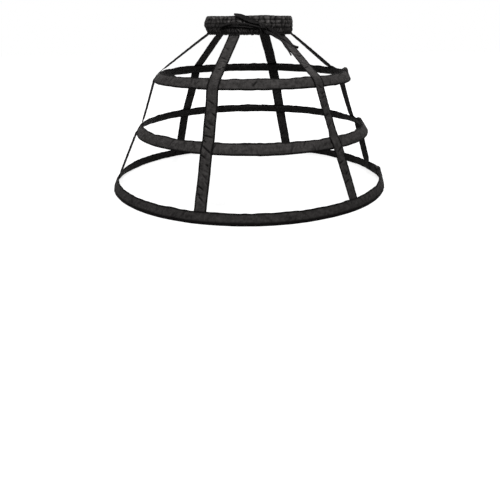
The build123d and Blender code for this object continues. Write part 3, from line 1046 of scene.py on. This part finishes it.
def make_tape(name, angles, seed):
    tape = tape_line(name, angles)

    def place(along, across):
        return tape_points(name, seed, tape, along * tape.length, (across - 0.5) * tape_width)

    # Painted shade in the tape's creases, darker where a crease goes deeper.
    def unshaded_share(along, across):
        folds = tape_folds(name, seed, tape, along * mm, across * mm - tape_width / 2)
        return 0.88 + 1.2 * folds / fold_depth

    cloth = cloth_grid(f"{name}_sewn", int(tape.length / tape_column), 22, place, tape.length, tape_width)
    map_fold_shade(cloth, unshaded_share)
    thicken(cloth, tape_wall, 0)
    finish_piece(cloth, tape_cloth, "tape_cloth", name)

    rows = []
    runs = np.arange(tape.marks[under_band] + seam_start, tape.length - seam_end, stitch_pitch)
    for edge in tape_seams:
        for side in (1, -1):
            lift = side * thread_lift
            across = 0 * runs + edge * tape_width / 2
            spots = tape_points(name, seed, tape, runs, across, lift)
            ahead = tape_points(name, seed, tape, runs + thread_step, across, lift)
            rows.append((spots, unit(ahead - spots), side * at_share(tape.facing, runs / tape.length)))
    sides = np.arange(-0.80, 0.81, 2 * stitch_pitch / tape_width) * tape_width / 2
    for mark, way in ((top_upper, 1), (top_lower, -1), (middle_upper, 1), (middle_lower, -1)):
        along = 0 * sides + tape.marks[mark] + way * seam_inset
        spots = tape_points(name, seed, tape, along, sides, thread_lift)
        ahead = tape_points(name, seed, tape, along, sides + thread_step, thread_lift)
        rows.append((spots, unit(ahead - spots), at_share(tape.facing, along / tape.length)))
    sew(f"{name}_stitches", rows, "tape_cloth")


for number, (name, angles) in enumerate(tape_angles.items()):
    make_tape(name, angles, 200 + 10 * number)


# Waistband: cloth drawn up on rows of elastic thread, gathered into puffs, folded over at the top

gather_count = 56
columns_per_gather = 14
stitched_heights = (0.11, 0.36, 0.58, 0.79)
row_edges = np.array([-0.14, *stitched_heights, 1.02])
crest_heights = [0.0, 0.12, 0.30, 0.55, 0.80, 0.94, 1.0]
crest_radii = np.array([102.0, 103.2, 105.2, 106.8, 106.2, 104.8, 103.2]) * mm
gather_depths = np.array([1.5, 2.2, 3.6, 4.2, 4.0, 3.2, 2.4]) * mm
row_pinch = 1.3 * mm
row_pucker = 0.30 * mm
frill_height = 0.7 * mm
puff_rise = 0.5 * mm
top_drop = 0.8 * mm
top_slope = 0.3 * mm
foot_drop = 1.6 * mm
foot_wave = 0.5 * mm
band_lean = 2.4 * mm
band_lean_reach = 22 * mm
band_lean_radii = (98.0 * mm, 101.0 * mm)
puff_sizes = np.random.RandomState(5).uniform(0.55, 1.0, (gather_count, 6))

band_wall = 0.45 * mm
band_map_length = 980.0 * mm
band_map_width = 105.0 * mm
band_stitches = 200
thread_out = 0.1 * mm

# Where the section turns over at the top, and where its lining starts
outer_share = 0.70
top_share = 0.80
fold_height = 0.9 * mm
fold_drop = 0.8 * mm
lining_gap = 0.5 * mm
lining_wave = 0.25 * mm
lining_foot = 0.4 * mm
lip_inset = 1.2 * mm
outer_lip_rise = 1.4 * mm
inner_lip_rise = 1.2 * mm

# Where the band swells, rounds in at its top, and has its top and its foot raised: angle, spread and how far
band_swells = [(-92.0, 24.0, 2.2 * mm)]
band_rounds = [(-92.0, 24.0, 2.6 * mm), (92.0, 20.0, 1.2 * mm)]
band_top_rises = [(-33.0, 14.0, -0.6 * mm), (21.0, 13.0, 1.0 * mm), (42.0, 9.0, -0.4 * mm)]
band_foot_rises = [(97.0, 13.0, 4.0 * mm)]


def puff_size(place, height):
    """A puff's own size, changing evenly from row to row up the band."""
    last = puff_sizes.shape[1] - 1
    row = np.clip(height, 0, 0.9999) * last
    low = row.astype(int)
    share = blend(0, 1, row - low)
    return puff_sizes[place, low] * (1 - share) + puff_sizes[place, np.minimum(low + 1, last)] * share


def band_gathers(turns, height):
    """How full the cloth stands at a place: between two gathers, and between two rows."""
    sway = 0.28 * waver(turns, 21, 4, 19, 5) + 0.13 * np.sin(2 * pi * (11 * turns + 1.7 * height))
    sway = sway + 0.10 * np.sin(2 * pi * (23 * turns - 2.3 * height)) - 1.6 * np.sin(2 * pi * (turns - 0.139))
    row = np.clip(np.searchsorted(row_edges, height, side="right") - 1, 0, len(row_edges) - 2)
    phase = ((turns * gather_count + sway) * np.where(row < 2, 2, 1)) % gather_count
    place = phase.astype(int) % gather_count
    puff = np.clip(1 - (2 * (phase % 1) - 1) ** 2, 0, 1) ** 0.6 * puff_size(place, height)
    share = (height - row_edges[row]) / (row_edges[row + 1] - row_edges[row])
    swell = np.clip(1 - (2 * share - 1) ** 2, 0, 1) ** 0.5
    return puff, swell


def band_face(turns, height):
    """Radius and height of the outside of the waistband at a share of a turn and of its height."""
    angle = 360 * turns
    puff, swell = band_gathers(turns, height)
    deep = np.interp(height, crest_heights, gather_depths)
    radius = np.interp(height, crest_heights, crest_radii) - deep * (1 - puff) - row_pinch * (1 - swell)
    pull = (1 - swell) ** 2 * (1 - blend(0.93, 1.0, height))
    radius = radius + row_pucker * pull * waver(turns, 27, 120, 190, 5, fade=0.1)
    frill = 1 - blend(0.0, 0.12, height)
    radius = radius + frill_height * frill * np.sin(2 * pi * (118 * turns + 0.2 * waver(turns, 28, 5, 20, 4)))
    radius = radius + near_angles(angle, band_swells) * np.sin(pi * np.clip(height, 0, 1)) ** 2
    radius = radius - near_angles(angle, band_rounds) * blend(0.72, 1.0, height)
    top = -top_drop - top_slope * np.sin(np.radians(angle)) + near_angles(angle, band_top_rises)
    foot = -foot_drop + foot_wave * waver(turns, 35, 40, 118, 6) + near_angles(angle, band_foot_rises)
    up = band_bottom + (band_top - band_bottom) * height
    up = up + top * blend(0.6, 1.0, height) + foot * (1 - blend(0.0, 0.3, height))
    up = up + puff_rise * (puff - 0.5) * blend(0.85, 1.0, height)
    return radius, up


def band_points(turns, radius, up):
    lower = 1 - blend(band_bottom, band_bottom + band_lean_reach, up)
    spots = outward(360 * turns) * radius[:, None]
    spots[:, 0] += waist_right + band_lean * lower * blend(*band_lean_radii, radius)
    spots[:, 2] = up
    return spots


def make_band():
    def place(turns, section):
        # Up the outside
        radius, up = band_face(turns, np.clip(section / outer_share, 0, 1))
        # Over the top fold
        inner = waist_radius + lining_gap + lining_wave * (1 + waver(turns, 29, 40, 120, 6))
        over = np.clip((section - outer_share) / (top_share - outer_share), 0, 1)
        top_radius, top_up = band_face(turns, 0 * turns + 1)
        folding = section > outer_share
        folded = (top_radius + inner) / 2 + (top_radius - inner) / 2 * np.cos(pi * over)
        radius = np.where(folding, folded, radius)
        up = np.where(folding, top_up + fold_height * np.sin(pi * over) - fold_drop * over, up)
        # Down the lining
        inside = section > top_share
        down = np.clip((section - top_share) / (1 - top_share), 0, 1)
        start = top_up - fold_drop
        radius = np.where(inside, inner, radius)
        up = np.where(inside, start + (band_bottom + lining_foot - start) * down, up)
        # Lips that close on the tops of the tapes
        lip_out = 1 - blend(0.0, 0.025, section)
        radius = radius - lip_out * (radius - hem_radius - lip_inset)
        up = up + lip_out * outer_lip_rise
        lip_in = blend(0.975, 1.0, section)
        radius = radius + lip_in * (hem_radius - lip_inset - radius)
        up = up + lip_in * inner_lip_rise
        return band_points(turns, radius, up)

    # Painted shade between the puffs and rows, and darker low on the band; the puff middles are left light as
    # painted highlights.
    def unshaded_share(along, across):
        height = np.clip(across / band_rise, 0, 1)
        puff, swell = band_gathers(along * mm / band_map_length, height)
        return puff * swell * (0.66 + 0.34 * blend(0.25, 0.60, height))

    band = cloth_grid("waistband_gathered", gather_count * columns_per_gather, 54, place,
                      band_map_length, band_map_width)
    map_fold_shade(band, unshaded_share)
    in_edit_mode(band, face_outwards)
    thicken(band, band_wall, -1)
    finish_piece(band, band_cloth, "band_cloth", "waistband_casing")

    def on_row(turns, height):
        radius, up = band_face(turns, 0 * turns + height)
        return band_points(turns, radius + thread_out, up)

    rows = []
    turns = np.arange(band_stitches) / band_stitches
    for height in stitched_heights:
        spots = on_row(turns, height)
        ahead = on_row(turns + 0.2 / band_stitches, height)
        rows.append((spots, unit(ahead - spots), outward(360 * turns)))
    sew("waistband_stitches", rows, "band_cloth")


make_band()


# Pieces held inside the cloth keep their solids

for hoop in hoops:
    give_material(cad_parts[f"hoop_bone_{hoop.name}"], bone_metal)
    give_material(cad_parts[f"hoop_joiner_{hoop.name}"], joiner_metal)
for node in ("waist_elastic", "drawcord_run"):
    give_material(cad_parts[node], sewing_thread)


# Studio

floor_size = 12
floor_dull = (0.10, 0.10, 0.10, 1)
floor_pale = (0.40, 0.40, 0.40, 1)
floor_glow_near = 0.78
floor_glow_from, floor_glow_to = 0.5, 1.5
world_light = 0.08
lamp_size = 0.9
lamp_target = (0, 0, 0.2)
lamps = [
    ("key_lamp", (-0.35, -1.25, 1.95), 33),
    ("fill_lamp", (0.9, -1.1, 1.9), 12),
    ("back_lamp", (0.3, 1.6, 1.8), 28),
]


def mix_seen(tree, unseen, seen, output):
    """One shader for the light on the object, another where the background shows, in gloss and glass too."""
    path = tree.nodes.new("ShaderNodeLightPath")
    rays = maths(tree, "MAXIMUM", path.outputs["Is Camera Ray"], path.outputs["Is Glossy Ray"])
    rays = maths(tree, "MAXIMUM", rays, path.outputs["Is Transmission Ray"])
    mix = tree.nodes.new("ShaderNodeMixShader")
    tree.links.new(rays, mix.inputs["Fac"])
    tree.links.new(unseen.outputs[0], mix.inputs[1])
    tree.links.new(seen.outputs[0], mix.inputs[2])
    tree.links.new(mix.outputs[0], output.inputs["Surface"])


def add_floor():
    bpy.ops.object.select_all(action="DESELECT")
    bpy.ops.mesh.primitive_plane_add(size=floor_size)
    floor = bpy.context.object
    floor.name = "studio_floor"
    material = bpy.data.materials.new("studio_floor")
    material.use_nodes = True
    tree = material.node_tree
    tree.nodes.clear()
    output = tree.nodes.new("ShaderNodeOutputMaterial")
    dull = tree.nodes.new("ShaderNodeBsdfDiffuse")
    dull.inputs["Color"].default_value = floor_dull
    pale = tree.nodes.new("ShaderNodeBsdfDiffuse")
    pale.inputs["Color"].default_value = floor_pale
    glow = tree.nodes.new("ShaderNodeEmission")
    where = tree.nodes.new("ShaderNodeTexCoord")
    far = tree.nodes.new("ShaderNodeVectorMath")
    far.operation = "LENGTH"
    tree.links.new(where.outputs["Object"], far.inputs[0])
    paler = tree.nodes.new("ShaderNodeMapRange")
    paler.interpolation_type = "SMOOTHSTEP"
    paler.inputs["From Min"].default_value = floor_glow_from
    paler.inputs["From Max"].default_value = floor_glow_to
    paler.inputs["To Min"].default_value = floor_glow_near
    paler.inputs["To Max"].default_value = 1.0
    tree.links.new(far.outputs["Value"], paler.inputs["Value"])
    tree.links.new(paler.outputs["Result"], glow.inputs["Strength"])
    both = tree.nodes.new("ShaderNodeAddShader")
    tree.links.new(pale.outputs[0], both.inputs[0])
    tree.links.new(glow.outputs[0], both.inputs[1])
    mix_seen(tree, dull, both, output)
    floor.data.materials.append(material)


def add_world():
    world = bpy.data.worlds.new("studio")
    world.use_nodes = True
    tree = world.node_tree
    tree.nodes.clear()
    output = tree.nodes.new("ShaderNodeOutputWorld")
    light = tree.nodes.new("ShaderNodeBackground")
    light.inputs["Strength"].default_value = world_light
    white = tree.nodes.new("ShaderNodeBackground")
    white.inputs["Strength"].default_value = 1.0
    for background in (light, white):
        background.inputs["Color"].default_value = (1, 1, 1, 1)
    mix_seen(tree, light, white, output)
    bpy.context.scene.world = world


def add_lamp(name, place, power):
    bpy.ops.object.light_add(type="AREA", location=place)
    lamp = bpy.context.object
    lamp.name = name
    lamp.data.size = lamp_size
    lamp.data.energy = power
    lamp.rotation_euler = (Vector(lamp_target) - Vector(place)).to_track_quat("-Z", "Y").to_euler()


add_floor()
add_world()
for name, place, power in lamps:
    add_lamp(name, place, power)
bpy.context.scene.view_settings.view_transform = "Standard"
